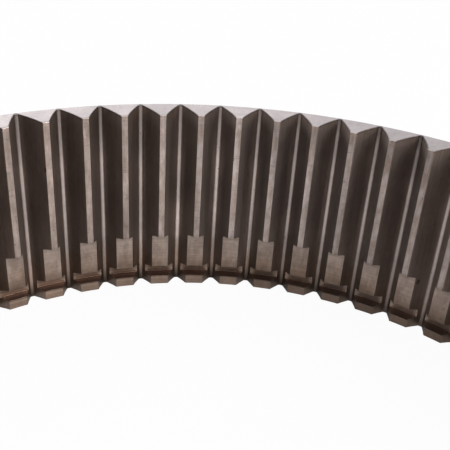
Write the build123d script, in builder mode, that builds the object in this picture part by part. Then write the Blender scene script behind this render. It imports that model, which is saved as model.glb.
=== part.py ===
from build123d import *
import os
from math import acos, cos, degrees, pi, radians, sin, tan

# Internal ring gear, one solid piece of turned and shaped steel.
# The ring stands on its lower end face: axis along Z, origin at the centre of
# that face, one tooth centred on +Y. Lengths in millimetres, angles in degrees.

# Toothing
module = 5.0
tooth_count = 58
pressure_angle = 25.0
profile_shift = 0.17          # outward shift of the cutter, in modules
addendum = 1.25 * module      # height of a tooth inside the shifted pitch circle
dedendum = 1.23 * module      # depth of a space outside it
root_fillet_wanted = 0.14 * module

# Blank
ring_height = 84.4
rim_thickness = 6.0           # from the roots of the teeth to the outer wall
upper_rim_chamfer = 4.75      # lead chamfer of the outer wall at the upper end
lower_rim_chamfer = 2.5       # and at the lower end, where the ring stands

# Lead-in at the upper end, turned on the tooth tips alone
lead_in_height = 1.5
lead_in_angle = 20.0          # widening of the tips towards the upper face

# Seat at the lower end, where the tooth tips are bored back
seat_depth = 5.4              # how far the tips are bored back
seat_height = 26.75           # from the lower face to where the shoulder begins
shoulder_angle = 22.5         # slope of the shoulder, rising towards the axis
face_relief_angle = 9.0       # slope of the lower face over the teeth, rising towards the axis

# Retaining-ring groove in the seat
groove_depth = 5.0            # below the surface of the seat
groove_mouth = 5.45           # width of the groove at the seat
groove_wall_angle = 20.0      # slope of the upper wall, while the lower one is square
end_land_height = 5.35        # land between the groove and the lower face
end_land_step = 0.6           # how far the land stands behind the seat

# Circles of the toothing and of the turned steps
pitch_radius = module * tooth_count / 2
base_radius = pitch_radius * cos(radians(pressure_angle))
shifted_radius = pitch_radius + profile_shift * module
tip_radius = shifted_radius - addendum
root_radius = shifted_radius + dedendum
outer_radius = root_radius + rim_thickness
seat_radius = tip_radius + seat_depth
groove_radius = seat_radius + groove_depth
end_land_radius = seat_radius + end_land_step


def rise(run, slope):
    """Height that a slope gains over a run."""
    return run * tan(radians(slope))


def involute(radius):
    """Polar angle in radians that an involute has swept when it reaches a radius."""
    angle = acos(base_radius / radius)
    return tan(angle) - angle


def half_space(radius):
    """Angle in degrees from the middle of a tooth space to its flank at a radius."""
    widening = 2 * profile_shift * tan(radians(pressure_angle))
    at_pitch = (pi / 2 + widening) / tooth_count
    return degrees(at_pitch + involute(pitch_radius) - involute(radius))


def on_flank(radius, side):
    """Point on one flank of the tooth space that is centred on +X."""
    return Vector(radius, 0).rotate(Axis.Z, side * half_space(radius))


# The root corners are rounded as wanted, or as far as the width of the root allows
root_flank_angle = acos(base_radius / root_radius) - radians(half_space(root_radius))
half_root_width = root_radius * sin(radians(half_space(root_radius)))
full_round_root = half_root_width * cos(root_flank_angle) / (1 - sin(root_flank_angle))
root_fillet = min(root_fillet_wanted, 0.95 * full_round_root)

# One tooth space, centred on +X: two involute flanks and the rounded root between them
flank_radii = [tip_radius + (root_radius - tip_radius) * step / 4 for step in range(5)]

with BuildLine() as tooth_space:
    lower_flank = Spline(*[on_flank(radius, -1) for radius in flank_radii])
    upper_flank = Spline(*[on_flank(radius, 1) for radius in flank_radii])
    ThreePointArc(lower_flank @ 1, (root_radius, 0), upper_flank @ 1)
    fillet(tooth_space.vertices().group_by(Axis.X)[-1], root_fillet)

# Tip of the tooth that follows this space, up to the next one
pitch_angle = 360 / tooth_count
tip_start = upper_flank @ 0
tip_middle = Vector(tip_radius, 0).rotate(Axis.Z, pitch_angle / 2)
tip_end = (lower_flank @ 0).rotate(Axis.Z, pitch_angle)

with BuildLine() as tooth_tip:
    ThreePointArc(tip_start, tip_middle, tip_end)

# A tooth is centred on +Y, so the first space lies half a pitch beside it
first_space = 90 + pitch_angle / 2

with BuildSketch() as bore_outline:
    with BuildLine():
        with PolarLocations(0, tooth_count, start_angle=first_space):
            add(tooth_space.line)
            add(tooth_tip.line)
    make_face()

# Everything that is turned out of the tooth tips, in the plane through the axis:
# relief of the lower face, end land, groove, seat, shoulder and the upper lead-in
inside_tips = tip_radius - seat_depth
shoulder_top = seat_height + rise(seat_depth, shoulder_angle)
relief_at_land = rise(root_radius - end_land_radius, face_relief_angle)
groove_top = end_land_height + groove_mouth
groove_floor_top = groove_top - rise(groove_depth, groove_wall_angle)
lead_in_depth = rise(lead_in_height, lead_in_angle)

with BuildSketch(Plane.XZ) as turned_profile:
    with BuildLine():
        Polyline(
            (inside_tips, 0),
            (root_radius, 0),
            (end_land_radius, relief_at_land),
            (end_land_radius, end_land_height),
            (groove_radius, end_land_height),
            (groove_radius, groove_floor_top),
            (seat_radius, groove_top),
            (seat_radius, seat_height),
            (tip_radius, shoulder_top),
            (inside_tips, shoulder_top),
            close=True,
        )
        Polyline(
            (inside_tips, ring_height),
            (inside_tips, ring_height - lead_in_height),
            (tip_radius, ring_height - lead_in_height),
            (tip_radius + lead_in_depth, ring_height),
            close=True,
        )
    make_face()

with BuildPart() as ring_gear:
    with BuildSketch():
        Circle(outer_radius)
        add(bore_outline.sketch, mode=Mode.SUBTRACT)
    extrude(amount=ring_height)
    upper_face = ring_gear.faces().filter_by(Axis.Z).sort_by(Axis.Z)[-1]
    chamfer(upper_face.outer_wire().edge(), upper_rim_chamfer)
    lower_face = ring_gear.faces().filter_by(Axis.Z).sort_by(Axis.Z)[0]
    chamfer(lower_face.outer_wire().edge(), lower_rim_chamfer)
    add(turned_profile.sketch)
    revolve(axis=Axis.Z, mode=Mode.SUBTRACT)

ring_gear.part.label = "ring_gear"

os.makedirs("parts", exist_ok=True)
export_step(ring_gear.part, "parts/ring_gear.step")
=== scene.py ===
# %% [markdown]
# # An internal ring gear in machined steel
# The object is one solid ring. Its teeth stand on the inside of the rim and point at the axis,
# their ends are bored back at the lower face to seat a neighbour, and a retaining ring snaps into
# the groove below that seat. The solid comes ready made from the CAD model, so this file gives it
# what a solid alone lacks: the finish that each cutting tool left, a place to stand, light and a
# camera. The frame is loaded first, and nothing in this file moves or reshapes it.

import math

import bpy
from mathutils import Matrix, Vector


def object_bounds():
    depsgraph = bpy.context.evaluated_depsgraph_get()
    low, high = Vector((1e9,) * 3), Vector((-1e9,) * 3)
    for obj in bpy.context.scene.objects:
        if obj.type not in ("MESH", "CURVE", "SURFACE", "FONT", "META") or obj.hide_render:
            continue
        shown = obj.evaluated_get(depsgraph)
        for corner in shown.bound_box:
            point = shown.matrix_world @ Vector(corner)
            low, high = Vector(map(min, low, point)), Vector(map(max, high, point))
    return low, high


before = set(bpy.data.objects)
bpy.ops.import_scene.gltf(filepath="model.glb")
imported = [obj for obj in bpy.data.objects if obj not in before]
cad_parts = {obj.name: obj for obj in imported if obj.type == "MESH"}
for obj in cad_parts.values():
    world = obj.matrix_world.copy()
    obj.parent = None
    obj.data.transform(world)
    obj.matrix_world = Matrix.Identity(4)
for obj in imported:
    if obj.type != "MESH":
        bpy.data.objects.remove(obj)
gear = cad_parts["ring_gear"]
solid_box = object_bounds()
print("solid", [tuple(round(v, 4) for v in corner) for corner in solid_box])

# %% [markdown]
# ## Sizes that the finishes follow
# A finish starts and stops where a tool did, so the masks below need the radii and heights of the
# turned faces. They are the ring's own sizes in millimetres, with heights measured up from the
# lower face. The two outermost are read off the solid's box, and the others are written down, as
# a mesh doesn't say which of its faces is the seat.

# %% Name the sizes in millimetres
MM = 0.001
ring_height = solid_box[1].z / MM
outer_radius = solid_box[1].x / MM
tip_radius = 139.6
seat_radius = 145.0
groove_radius = 150.0
root_radius = 152.0
tooth_count = 58
lead_in_foot = 82.9
tip_foot = 28.9
seat_top = 26.75
groove_top = 10.8
end_land_top = 5.35
print(f"ring {2 * outer_radius:.1f} across and {ring_height:.1f} high, {tooth_count} teeth")

# %% [markdown]
# ## One method for every node
# A finish in Blender is a net of nodes. Each node could be added, set and linked in lines of its
# own, which soon fills pages. Here one method does it all: it takes the node's type and settings,
# and then a value or a link for each socket.

# %% A net that adds nodes
class Net:
    """The node tree of a material or of the world, emptied for new nodes."""

    def __init__(self, owner):
        owner.use_nodes = True
        self.tree = owner.node_tree
        self.tree.nodes.clear()

    def node(self, kind, settings=None, output=0, **sockets):
        """Adds a node. A socket is given by its name, or by i and its number."""
        made = self.tree.nodes.new(kind)
        for name, value in (settings or {}).items():
            setattr(made, name, value)
        for name, value in sockets.items():
            target = made.inputs[int(name[1:]) if name[1:].isdigit() else name]
            if isinstance(value, Value):
                self.tree.links.new(value.socket, target)
            elif target.type == "RGBA":
                target.default_value = (*value, 1.0)
            else:
                target.default_value = value
        return Value(self, made.outputs[output]) if made.outputs else None


print("nets ready")

# %% [markdown]
# ## Shader maths as plain expressions
# A long sum is hard to read as a list of links. A small class can wrap one socket and overload the
# operators, so that `1 - mask` adds the Math node by itself. Numbers go through Math nodes.
# Colours and vectors go through Mix and Vector Math, because a Math node would turn a colour grey.
# The methods `rise`, `fall` and `band` make the soft edges of nearly all masks.

# %% A socket that understands operators
class Value:
    """One output socket of a node; expressions on it add the nodes that they need."""

    def __init__(self, net, socket):
        self.net, self.socket = net, socket

    def other(self, name):
        """Another output of the same node."""
        return Value(self.net, self.socket.node.outputs[name])

    def _maths(self, operation, *terms):
        kind = "ShaderNodeMath"
        if any(isinstance(t, Value) and t.socket.type in ("VECTOR", "RGBA") for t in terms):
            kind = "ShaderNodeVectorMath"
            terms = [t if isinstance(t, (Value, tuple)) else (t, t, t) for t in terms]
        sockets = {f"i{n}": term for n, term in enumerate(terms)}
        return self.net.node(kind, {"operation": operation}, **sockets)

    def __add__(self, other):
        return self._maths("ADD", self, other)

    def __sub__(self, other):
        return self._maths("SUBTRACT", self, other)

    def __rsub__(self, other):
        return self._maths("SUBTRACT", other, self)

    def __mul__(self, other):
        return self._maths("MULTIPLY", self, other)

    def __truediv__(self, other):
        return self._maths("DIVIDE", self, other)

    def __rtruediv__(self, other):
        return self._maths("DIVIDE", other, self)

    def __neg__(self):
        return self._maths("MULTIPLY", self, -1.0)

    def __abs__(self):
        return self._maths("ABSOLUTE", self)

    __radd__ = __add__
    __rmul__ = __mul__

    def call(self, operation, *others):
        """A Math operation that has no sign of its own, such as SQRT or ROUND."""
        return self._maths(operation, self, *others)

    def step(self, start, end, low, high):
        """Smoothly from low to high as the value goes from start to end."""
        return self.net.node("ShaderNodeMapRange", {"interpolation_type": "SMOOTHSTEP"},
                             Value=self, **{"From Min": start, "From Max": end,
                                            "To Min": low, "To Max": high})

    def rise(self, start, end, size=1.0):
        """0 below the start and the full size above the end."""
        return self.step(start, end, 0.0, size)

    def fall(self, start, end, size=1.0):
        """The full size below the start and 0 above the end."""
        return self.step(start, end, size, 0.0)

    def band(self, start, end, soft):
        """1 between start and end, with soft shoulders, and 0 elsewhere."""
        return self.rise(start - soft, start) * self.fall(end, end + soft)

    def spread(self, low, high):
        """A noise, most of which lies between 0.3 and 0.7, spread from low to high."""
        return self.step(0.3, 0.7, low, high)

    def clamp(self):
        return self.net.node("ShaderNodeClamp", Value=self)

    def mix(self, a, b):
        """Colour a where the value is 0 and colour b where it is 1."""
        return self.net.node("ShaderNodeMix", {"data_type": "RGBA"}, 2, i0=self, i6=a, i7=b)


def split(vector):
    """The three parts of a vector or a colour."""
    first = vector.net.node("ShaderNodeSeparateXYZ", i0=vector)
    return [first.other(axis) for axis in "XYZ"]


def grey(value):
    """A number as a colour, so that it can multiply one."""
    return value.net.node("ShaderNodeCombineXYZ", i0=value, i1=value, i2=value)


print("shader maths ready")

# %% [markdown]
# ## Where a point lies on the gear
# Each tool cut one kind of surface: the shaper cut flanks and roots, the lathe turned the tips, the
# seat and the groove, and the grinder faced the ends. The finish could be painted on by hand or
# given per face, but every one of these surfaces is known by its radius, its height and the way it
# faces. So the masks are worked out from the position and the normal, and they fit all 58 teeth.

# %% Start the steel and measure the point
steel = bpy.data.materials.new("machined_steel_finish")
net = Net(steel)

place = net.node("ShaderNodeTexCoord", output=3)
x, y, z = split(place * (1.0 / MM))
radius = (x * x + y * y).call("SQRT")
angle = y.call("ARCTAN2", x)
facing = net.node("ShaderNodeNewGeometry", output=1)
nx, ny, nz = split(facing)
inward = -(nx * x + ny * y) / radius
sideways = (ny * x - nx * y) / radius
print("position and facing are measured")

# %% [markdown]
# ## Which tooth, and how far across it
# One turn is divided into 58 pitches, and the first tooth stands on the Y axis. Rounding the count
# names the nearest tooth, and cutting its fraction off names the space, so that each of them can
# have a chance of its own. What rounding took away says how far a point is from the middle of the
# tooth: 0 there, and a half in the middle of the space.

# %% Count the pitches
full_turn = 2 * math.pi
pitches = (angle - full_turn / 4) * (tooth_count / full_turn)
pitches = pitches.call("FLOORED_MODULO", tooth_count)
nearest = pitches.call("ROUND")
across = abs(pitches - nearest)


def chance(number, seed):
    """A chance from 0 to 1 that is the same all over one tooth or one space."""
    return net.node("ShaderNodeTexWhiteNoise", {"noise_dimensions": "1D"}, W=number + seed)


tooth_chance = chance(nearest.call("FLOORED_MODULO", tooth_count), 7.3)
space_chance = chance(pitches.call("FLOOR"), 219.8)
print("pitches counted")

# %% [markdown]
# ## One mask for each tool
# Tips, seat, groove and end land all face the axis at a known radius, and so do the root strips.
# What faces sideways inside the root circle is a flank. Flat ends face up or down. The limits on
# `inward`, `sideways` and `nz` are cosines, so 0.7 stands for a slant of 45 degrees. The limits on
# radius and height are a few tenths of a millimetre off the faces, to be safe from rounding.

# %% Make the masks
faces_axis = inward.rise(0.80, 0.93)
faces_up = nz.rise(0.70, 0.95)
faces_down = (-nz).rise(0.70, 0.95)
outside = (-inward).rise(0.20, 0.50)
flat_end = (faces_up + faces_down).clamp()
upper_end = faces_up * z.rise(ring_height - 0.5, ring_height - 0.2)

root = inward.rise(0.50, 0.70) * radius.rise(root_radius - 0.65, root_radius - 0.45)
turned = faces_axis * (1 - root)
tip = turned * radius.fall(tip_radius + 0.5, tip_radius + 0.9)
seat = turned * radius.band(seat_radius - 0.2, seat_radius + 0.3, 0.2)
seat = seat * z.rise(groove_top - 0.2, groove_top)
groove = turned * radius.rise(groove_radius - 0.3, groove_radius - 0.1)
groove_wall = faces_up * z.fall(end_land_top + 1.0, end_land_top + 2.0)
end_land = turned * z.fall(end_land_top, end_land_top + 0.1)

flank = abs(sideways).rise(0.30, 0.60) * (1 - outside) * (1 - root)
faces_right = flank * (-sideways).rise(0.30, 0.60)
faces_left = flank - faces_right
print("masks: tips, seat, groove, end land, roots, flanks and flat ends")

# %% [markdown]
# ## How far the upper face runs past the tooth outline
# The edge between the upper face and the tooth spaces was broken with a fine file. A modelled
# bevel of a third of a millimetre would cost more faces than all the teeth, so the shade that the
# bevel would show is painted on as a thin dark line, from a mask. It needs the distance from the
# outline, and that has a formula, because the flanks are involutes: the half width of a space
# shrinks as the involute angle grows. At the bottom of a space the root circle takes over from the
# flanks.

# %% Measure the distance from the tooth outline
pressure_angle, profile_shift, module = math.radians(25.0), 0.17, 5.0
pitch_radius = module * tooth_count / 2
base_radius = pitch_radius * math.cos(pressure_angle)
half_space = (math.pi / 2 + 2 * profile_shift * math.tan(pressure_angle)) / tooth_count
half_space = half_space + math.tan(pressure_angle) - pressure_angle

roll = (base_radius / radius).call("ARCCOSINE")
involute = roll.call("TANGENT") - roll
from_space = (0.5 - across) * (full_turn / tooth_count)
past_flank = (from_space - (half_space - involute)) * radius

line_inner, line_outer, root_half_angle = 0.22, 0.48, 0.006
at_flank = past_flank.fall(line_inner, line_outer)
at_root = radius.fall(root_radius + line_inner, root_radius + line_outer)
at_root = at_root * from_space.fall(0.0, root_half_angle)
behind_tip = radius.rise(tip_radius + 0.4, tip_radius + 1.2)
# painted shade of the filed edge on the upper face
painted_outline_shade = upper_end * (at_flank + at_root).clamp() * behind_tip
print(f"space at the pitch circle {2 * half_space * pitch_radius:.2f} mm wide")

# %% [markdown]
# ## Marks of the tools
# A shaper leaves fine lines along the tooth, a lathe leaves lines round the bore, and a face
# grinder leaves rings on the flat ends. All three are one noise texture, stretched along the way
# the tool moved. The scale of a texture is set by multiplying the place: a thousand per metre gives
# marks about one millimetre apart. The shifts keep the noises from being one and the same.

# %% Draw out the noises
def marks(stretch, detail=3.0, shift=(0.0, 0.0, 0.0)):
    """Noise whose marks are one unit long where the place is multiplied by stretch."""
    return net.node("ShaderNodeTexNoise", Vector=place * stretch + shift, Scale=1.0,
                    Detail=detail, Roughness=0.6)


shaper_lines = marks((1100.0, 1100.0, 25.0))
shaper_bands = marks((330.0, 330.0, 18.0), shift=(5.0, 2.0, 9.0))
lathe_lines = marks((60.0, 60.0, 2300.0))
mottle = marks((700.0, 700.0, 420.0), 4.0, (2.0, 7.0, 1.0))
clouds = marks((75.0, 75.0, 50.0), 4.0, (9.0, 3.0, 4.0))
patches = marks((420.0, 420.0, 170.0), 4.0, (4.0, 8.0, 6.0))
scratches = marks((110.0, 110.0, 1500.0), 2.0, (1.0, 6.0, 2.0))
specks = marks((900.0, 900.0, 520.0), 3.0, (3.0, 3.0, 8.0))

rings_per_mm, breaks_per_turn = 1.9, 6.0
swirl = net.node("ShaderNodeCombineXYZ", i0=radius * rings_per_mm, i1=angle * breaks_per_turn)
grinder_rings = net.node("ShaderNodeTexNoise", Vector=swirl, Scale=1.0, Detail=3.0)
print("marks of shaper, lathe and grinder")

# %% [markdown]
# ## Painted light from one side
# The ring looks paler on one side than on the other, as light falling from that side makes it.
# The lamps below didn't give it alone, so this light and shade are painted into the finish. One
# measure does it for every surface: it goes smoothly across the ring, from plus one on the lit
# side to minus one on the dim side. For an even ring, multiply this measure by 0. A few zones of
# height are named with it.

# %% Measure the sides and the zones
side_light_reach = 100.0
# painted light and shade across the ring: plus one on the lit side, minus one on the dim side
painted_side_light = x.step(-side_light_reach, side_light_reach, 1.0, -1.0)
painted_lit_side = painted_side_light.rise(0.0, 1.0)
painted_dim_side = painted_side_light.fall(-1.0, 0.0)
painted_far_dim_side = painted_side_light.fall(-0.85, -0.50)

upper_half = z.rise(34.0, 62.0)
near_top = z.rise(72.0, 82.0)
top_band = z.rise(ring_height - 13.0, ring_height - 1.0)
# painted shade of the broken top edge on the flanks and roots
painted_edge_shade = z.rise(ring_height - 0.9, ring_height - 0.2) * (1 - upper_end)
print("wiped side, oiled side and zones of height")

# %% [markdown]
# ## Colour of each surface
# Bare steel is warm grey. The turned tips and the root strips are the palest, and here and there
# the tips have gone tan. The flanks are darker, partly from a thin film of dried oil, which nothing
# rubs, and partly as painted shade between the teeth. The groove still holds oil, and the ledge at
# its foot is near black, partly from thick brown oil and partly as painted shade under the
# overhang.

# %% Choose the colours
turned_steel = (0.54, 0.458, 0.436)
tan_steel = (0.51, 0.405, 0.35)
seat_steel = (0.455, 0.36, 0.31)
root_steel = (0.53, 0.455, 0.425)
# flank colour: a film of dried oil, darkened further as painted shade between the teeth
filmed_and_shaded_steel = (0.325, 0.272, 0.248)
ground_steel = (0.395, 0.353, 0.356)
wall_steel = (0.44, 0.40, 0.385)
groove_oil = (0.425, 0.35, 0.31)
# ledge colour: brown oil, darkened to near black as painted shade under the overhang
ledge_oil_and_shade = (0.12, 0.075, 0.06)

gone_tan = patches.rise(0.35, 0.65) * (1 - painted_lit_side * 0.7)
colour = gone_tan.mix(tan_steel, turned_steel)
for surface, surface_colour in ((flank, filmed_and_shaded_steel), (root, root_steel), (seat, seat_steel),
                                (groove, groove_oil), (groove_wall, ledge_oil_and_shade),
                                (upper_end, ground_steel), (outside, wall_steel)):
    colour = surface.mix(colour, surface_colour)
print("colours chosen")

# %% [markdown]
# ## Tone of the cutting marks
# No surface is even. The tone is one number that multiplies the colour, and it could be one long
# formula. It is built up in short lists instead, one for each surface, where each line is a
# change: plus 0.1 makes the surface a tenth paler, and minus 0.1 a tenth darker. The first lists
# hold the marks of the tools, clouds of wear, and a little chance that makes no tooth quite like
# its neighbour.

# %% Shade the cutting marks
def shade(tone, surface, *changes):
    """The tone after each change to the surface that the mask names."""
    for change in changes:
        tone = tone * (1 + surface * change)
    return tone


tone = mottle.step(0.25, 0.75, 0.93, 1.07)
tone = shade(tone, (1 - outside) * (1 - flat_end), tooth_chance.step(0.0, 1.0, -0.07, 0.06))
tone = shade(tone, 1 - outside * 0.5, clouds.spread(-0.10, 0.10))
tone = shade(tone, flank, shaper_lines.spread(-0.10, 0.10))
tone = shade(tone, root, shaper_bands.spread(-0.19, 0.17))
tone = shade(tone, tip, shaper_bands.spread(-0.16, 0.13), scratches.rise(0.61, 0.70, -0.28))
tone = shade(tone, tip + seat, patches.spread(-0.17, 0.13))
tone = shade(tone, tip + seat + root + flank * 0.7, specks.rise(0.65, 0.73, -0.40))
tone = shade(tone, seat + end_land + outside, lathe_lines.spread(-0.11, 0.10))
tone = shade(tone, flat_end, grinder_rings.spread(-0.05, 0.05))
tone = shade(tone, upper_end, specks.spread(0.06, -0.07))
print("cutting marks shaded")

# %% [markdown]
# ## Tone of the flanks
# The flanks are painted with light and shade. A flank is paler near the tip, where more light gets
# into the space, and darker deep in and near the upper face. The two flanks of a space are shaded
# unlike each other, as light falling from one side makes them. On the dim side they have a painted
# highlight along the crest by the tip and a pale patch at the upper end, and one flank of each
# space is paler low down. A painted map could follow each of them, but fades by radius and height
# carry over to all 116 flanks.

# %% Shade the flanks
flank_shade_radius = 148.0
crest = flank * radius.fall(tip_radius, tip_radius + 1.3)
low_flank = z.rise(5.5, 6.5) * z.step(12.0, 45.0, 1.0, 0.15)

# painted light and shade: paler near the tip, darker deep in and near the upper face
tone = shade(tone, flank,
             radius.step(tip_radius, flank_shade_radius, 0.16, -0.12),
             top_band * -0.12)
# painted light and shade: the two flanks of a space lit unlike each other
tone = shade(tone, faces_left,
             z.rise(77.0, 83.0) * (0.85 - painted_side_light * 0.88 + painted_dim_side * 0.85 - painted_far_dim_side * 0.8),
             painted_side_light * 0.12 + painted_lit_side * 0.16 - 0.18)
tone = shade(tone, faces_right,
             0.18 - painted_side_light * 0.25 - painted_lit_side * 0.30,
             painted_lit_side * radius.fall(tip_radius, 146.0, -0.12))
# painted highlight along the crest by the tip
tone = shade(tone, crest,
             faces_right * (painted_dim_side * 0.75 - painted_far_dim_side * 0.3) + faces_left * painted_lit_side * 0.25)
tone = shade(tone, low_flank,
             faces_right * (1 - painted_lit_side) * (0.42 - painted_far_dim_side * 0.25)
             + faces_left * z.fall(12.0, 20.0, 0.12))
print("flanks shaded")

# %% [markdown]
# ## Tone of the tips
# The tips are painted with light: paler in their upper half, where the light they catch is
# brighter, and paler on the lit side of the ring, with painted shade on the dim side. The lead-in
# at their upper end is paler still, and a painted shadow line darkens their foot, where they meet
# the seat. A second, paler steel could be mixed in, but a change of tone keeps the marks that the
# cutters left.

# %% Shade the tips
# painted light and shade on the tips, and a painted shadow line at their foot
tone = shade(tone, tip,
             painted_side_light * (0.05 + upper_half * 0.23) - 0.03,
             upper_half * (0.19 - painted_lit_side * 0.04 - painted_dim_side * 0.12),
             painted_far_dim_side * z.fall(60.0, 66.0, -0.17),
             painted_dim_side * near_top * -0.15,
             z.rise(lead_in_foot - 0.1, lead_in_foot + 0.1, 0.16),
             z.fall(tip_foot, tip_foot + 1.7) * (-0.16 - painted_dim_side * 0.18))
print("tips shaded")

# %% [markdown]
# ## Tone of the roots
# The root strips are painted with light and shade: bright in the middle of their height, with
# painted shade at both ends that is darkest at the foot, and paler on the lit side of the ring. One
# space in six or so has a painted glint low down. A lamp could make a glint there, but would light
# each strip in its turn, and chance picks only a few.

# %% Shade the roots
# painted light and shade on the root strips
tone = shade(tone, root,
             painted_side_light * 0.19 + 0.05 + painted_dim_side * z.fall(12.0, 30.0, 0.16),
             z.rise(60.0, 72.0, -0.23),
             z.rise(76.0, 82.0, -1.0) * (0.12 - painted_side_light * 0.4).clamp(),
             z.band(32.0, 60.0, 6.0) * 0.10,
             upper_half * painted_dim_side * -0.13,
             z.fall(0.0, 11.0) * (painted_dim_side * 0.22 - 0.75),
             space_chance.step(0.0, 0.75, -0.05, 0.04),
             # a painted glint low down in one space in six or so
             space_chance.rise(0.76, 0.92, 0.42) * z.band(25.0, 37.0, 6.0))
print("roots shaded")

# %% [markdown]
# ## Tone of the seat and the end land
# Both are turned in one setting and look alike, so they share one line below, which paints them
# paler on the lit side of the ring. The seat has painted shade under the shoulder at its upper end
# and is darker towards its lower end. The land has a dark upper edge, painted shade on the dim
# side, and a painted highlight on the lit side. Faces cut into the solid could carry these lines,
# but they have no depth.

# %% Shade the seat and the land
# painted shade under the shoulder, and a darker lower end
tone = shade(tone, seat,
             z.rise(seat_top - 2.45, seat_top - 0.95, -0.20),
             z.fall(11.0, 15.0, -0.22),
             z.rise(13.0, 17.0, 0.12) * (painted_lit_side + painted_dim_side))
tone = shade(tone, seat + end_land, painted_side_light * 0.10 - 0.03)
# painted shade on the dim side and a painted highlight on the lit side
tone = shade(tone, end_land,
             painted_dim_side * -0.14 - 0.08,
             z.rise(end_land_top - 0.6, end_land_top - 0.3) * (-0.42 - painted_dim_side * 0.5),
             z.band(3.8, 4.4, 0.2) * painted_lit_side * 0.28)
print("seat and land shaded")

# %% [markdown]
# ## Tone of the groove
# The floor of the groove is painted with light and shade: paler on the lit side of the ring,
# darker upwards in the shade under the seat, and changed towards the sides of each tooth, where the
# cutter broke through into the spaces and that shade ends. The ledge at the foot of the groove is
# darker along its front edge, and on the lit side it has a painted highlight further in. Light
# alone leaves so narrow a groove flat and even, so the tone stands in for the oil and the shade in
# it.

# %% Shade the groove
# painted light and shade in the groove and a painted highlight on the ledge
tone = shade(tone, groove,
             painted_side_light.step(0.0, 1.0, 0.05, 0.75),
             z.rise(6.6, 7.6) * (-0.30 - painted_lit_side * 0.20),
             across.rise(0.24, 0.32) * (0.40 - painted_lit_side * 0.5))
tone = shade(tone, groove_wall,
             radius.fall(146.0, 146.5, -0.22),
             radius.band(148.1, 149.0, 0.3) * painted_lit_side * 0.6)
print("groove shaded")

# %% [markdown]
# ## Tone of the upper face and its edges
# The ground face is even, but its tone is painted a little paler in the middle of the ring than
# at the sides, and the ends of the teeth on it are painted darker on the lit side. Two thin lines
# of
# painted shade set it off: the broken edge on the face itself, and the top edge just below it on
# the flanks and roots. Neither is wide enough for a material of its own.

# %% Shade the upper face
# painted light and shade on the upper face
tone = shade(tone, upper_end,
             radius.fall(tip_radius + 1.0, tip_radius + 2.0) * painted_lit_side * -0.30,
             0.03 - painted_lit_side * 0.10 - painted_dim_side * 0.07)
# painted shade of the broken edges
tone = shade(tone, painted_outline_shade, -0.72)
tone = shade(tone, (flank + root) * painted_edge_shade, -0.42)
print("upper face shaded")

# %% [markdown]
# ## Oil
# The ring has stood on its lower face, and old oil has run down and dried there. It turns the lower
# end brown, more so towards the groove, and its edge is not straight. A thinner brown film lies on
# one flank of each space, mostly on the lit side, and along the lip of the upper face over the
# tips. Near the upper end of that flank the brown is a painted warm reflection between the teeth.

# %% Brown the oiled places
oil_tint = (0.80, 0.70, 0.60)
film_and_reflection_tint = (1.0, 0.86, 0.74)
oil_strength, lip_strength = 0.8, 0.45

oil_height = z + clouds.step(0.2, 0.8, -5.0, 5.0) + tooth_chance.step(0.0, 1.0, -2.0, 2.0)
oil_missed = (root + groove + groove_wall).clamp() * painted_dim_side * 0.6
oil = oil_height.fall(8.0, 24.0) * (1 - outside) * (1 - oil_missed)
# brown film, and near the upper end a painted warm reflection between the teeth
brown_film_and_reflection = (faces_right * (painted_lit_side * 0.85 + near_top * (0.3 + painted_lit_side * 0.4))).clamp()
brown_lip = upper_end * radius.fall(tip_radius, tip_radius + 1.6)

colour = (oil * oil_strength).mix(colour, colour * oil_tint)
colour = brown_film_and_reflection.mix(colour, colour * film_and_reflection_tint)
colour = (brown_lip * lip_strength).mix(colour, colour * film_and_reflection_tint)
colour = colour * grey(tone)
print("oil dried on")

# %% [markdown]
# ## Worn edges and pits
# Handling rubs edges bright. The Bevel node rounds the normal near an edge, so where it differs
# from the true normal there is an edge. Small dark pits sit in the middles of the cells of a
# Voronoi texture, and the chance that each cell gets leaves a part of them out. Larger and softer
# ones on the flanks, roots and seat are dried drops of oil. Noise could give dots too, but not
# such round ones.

# %% Rub the edges and add the pits
edge_width, edge_gain = 0.3 * MM, 0.16
rounded = net.node("ShaderNodeBevel", {"samples": 6}, Radius=edge_width)
same_way = net.node("ShaderNodeVectorMath", {"operation": "DOT_PRODUCT"}, 1, i0=rounded, i1=facing)
worn = (1 - same_way).rise(0.01, 0.12) * (tip + seat + end_land + outside).clamp()
colour = colour * grey(1 + worn * edge_gain)


def dots(stretch, inner, outer, share):
    """Round dots in a share of the cells of a Voronoi texture."""
    cells = net.node("ShaderNodeTexVoronoi", Vector=place * stretch, Scale=1.0)
    cell_chance = split(cells.other("Color"))[0]
    return cells.fall(inner, outer) * cell_chance.rise(1 - share, 1 - share + 0.01)


dot_strength = 0.55
pit = dots((170.0, 170.0, 120.0), 0.03, 0.055, 0.38)
drop = dots((62.0, 62.0, 44.0), 0.035, 0.075, 0.75) * (flank + root + seat).clamp()
colour = colour * grey(1 - pit * dot_strength)
colour = colour * grey(1 - drop * dot_strength)
print("edges worn, pits and drops set")

# %% [markdown]
# ## Gloss and relief
# Oiled surfaces are smoother and ground ones scatter more. The Bump node turns the same marks into
# relief of a few hundredths of a millimetre, so they catch light when the view comes close.

# %% Put the steel on the gear
bare_roughness, relief_depth = 0.31, 0.03 * MM
rough = bare_roughness + mottle.spread(-0.03, 0.03)
for surface, scatter in ((flank, 0.03), (upper_end, 0.12), (groove, 0.10), (groove_wall, 0.20),
                         (outside, 0.05), (pit, 0.20)):
    rough = rough + surface * scatter
metallic = 1 - flank * (0.16 + top_band * 0.04) - groove_wall * 0.3

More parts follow.
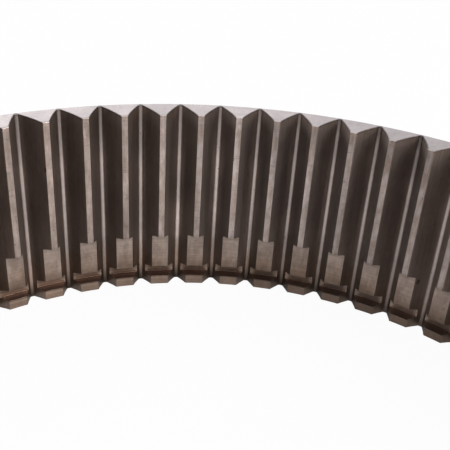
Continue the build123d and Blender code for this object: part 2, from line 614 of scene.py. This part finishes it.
height = mottle * 0.25 - pit
for surface, mark in ((flank + tip + root, shaper_lines * 0.5), (flat_end, grinder_rings * 0.4),
                      (seat + end_land + outside + groove, lathe_lines * 0.5)):
    height = height + surface * mark
relief = net.node("ShaderNodeBump", Strength=0.35, Distance=relief_depth, Height=height,
                  Normal=rounded)
metal = net.node("ShaderNodeBsdfPrincipled", Metallic=metallic, Roughness=rough, Normal=relief,
                 **{"Base Color": colour})
net.node("ShaderNodeOutputMaterial", Surface=metal)

gear.data.materials.clear()
gear.data.materials.append(steel)
for face in gear.data.polygons:
    face.material_index = 0
print("steel on", gear.name)

# %% [markdown]
# ## Floor
# The ring stands on a pale floor that runs on as far as the eye sees. To the camera the floor
# nearly glows white, which could wash out the ring's shadow, so a small share of it stays a plain
# matt surface. All other rays, and so the light that comes back off the floor, meet mostly the
# matt part.

# %% Lay the floor
reach = 6.0
corners = [(-reach, -reach, 0), (reach, -reach, 0), (reach, reach, 0), (-reach, reach, 0)]
floor_mesh = bpy.data.meshes.new("studio_floor")
floor_mesh.from_pydata(corners, [], [(0, 1, 2, 3)])
floor = bpy.data.objects.new("studio_floor", floor_mesh)
bpy.context.scene.collection.objects.link(floor)


def ray_kinds(tree):
    """1 or 0 each: seen by the camera, by a mirror, and through glass."""
    ray = tree.node("ShaderNodeLightPath")
    return [ray.other(f"Is {kind} Ray") for kind in ("Camera", "Glossy", "Transmission")]


paper = bpy.data.materials.new("pale_floor")
sheet = Net(paper)
seen, mirrored, passed = ray_kinds(sheet)
share = (seen * 0.96 + mirrored * 0.1 + passed * 0.1).clamp()
matt = sheet.node("ShaderNodeBsdfDiffuse", Color=(0.80, 0.80, 0.80))
glow = sheet.node("ShaderNodeEmission", Color=(1.0, 1.0, 1.0), Strength=1.0)
cover = sheet.node("ShaderNodeMixShader", i0=share, i1=matt, i2=glow)
sheet.node("ShaderNodeOutputMaterial", Surface=cover)
floor_mesh.materials.append(paper)
print("floor", 2 * reach, "m across")

# %% [markdown]
# ## Air
# Above the floor the world is a white backdrop to the camera and in the steel, and a dim soft light
# to everything else.

# %% Fill the air
world = bpy.data.worlds.new("studio_air")
bpy.context.scene.world = world
air = Net(world)
seen, mirrored, passed = ray_kinds(air)
sky = air.node("ShaderNodeBackground", Color=(1.0, 1.0, 1.0), Strength=0.35)
white = air.node("ShaderNodeBackground", Color=(1.0, 1.0, 1.0), Strength=1.0)
shown = air.node("ShaderNodeMixShader", i0=(seen + mirrored + passed).clamp(), i1=sky, i2=white)
air.node("ShaderNodeOutputWorld", Surface=shown)
print("air filled")

# %% [markdown]
# ## Light
# Bare metal shows its surroundings more than its own colour. Most of the light inside the ring
# comes back off the floor, so the softbox at the right, which lights the floor at the left and
# leaves it dark at the foot of the wall on the right, shapes the teeth. A second one, behind and
# high, gives the ground face its sheen, and a weak third one stands lower beside it.

# %% Hang the lights
def softbox(name, heading, rise, away, side, watts):
    """A square soft lamp that looks at the middle of the ring; angles in degrees, metres, watts."""
    data = bpy.data.lights.new(name, "AREA")
    data.shape, data.size, data.energy = "SQUARE", side, watts
    lamp = bpy.data.objects.new(name, data)
    turn, lift = math.radians(heading), math.radians(rise)
    lamp.location = away * Vector((math.cos(turn) * math.cos(lift), math.sin(turn) * math.cos(lift),
                                   math.sin(lift)))
    lamp.rotation_euler = (-lamp.location).to_track_quat("-Z", "Y").to_euler()
    bpy.context.scene.collection.objects.link(lamp)
    print(f"{name}: {watts} W from {heading} degrees, {rise} up")


softbox("side_softbox", heading=-12, rise=40, away=2.0, side=1.5, watts=32.0)
softbox("back_softbox", heading=128, rise=50, away=2.0, side=1.5, watts=15.0)
softbox("low_back_softbox", heading=108, rise=27, away=2.2, side=1.8, watts=3.5)

# %% [markdown]
# ## Camera
# The camera hangs over the bore beside the near wall and looks down across the ring at the inside
# of the far wall, so that the teeth stand up in the picture with both ends in view. A longer lens
# from further off would draw the teeth side by side. Close by they spread like a fan.

# %% Set up the camera
eye = bpy.data.cameras.new("inside_view")
eye.sensor_width, eye.lens = 36.0, 55.487
eye.clip_start, eye.clip_end = 0.005, 20.0
camera = bpy.data.objects.new("inside_view", eye)
bpy.context.scene.collection.objects.link(camera)

heading, tilt, lean = (math.radians(a) for a in (1.05, 61.25, 3.80))
look = Matrix.Rotation(heading, 4, "Z") @ Matrix.Rotation(tilt, 4, "X")
look = look @ Matrix.Rotation(lean, 4, "Z")
camera.matrix_world = Matrix.Translation((0.00188, -0.12309, 0.17965)) @ look
bpy.context.scene.camera = camera
bpy.context.scene.view_settings.view_transform = "Standard"
print("camera", tuple(round(v, 4) for v in camera.location))
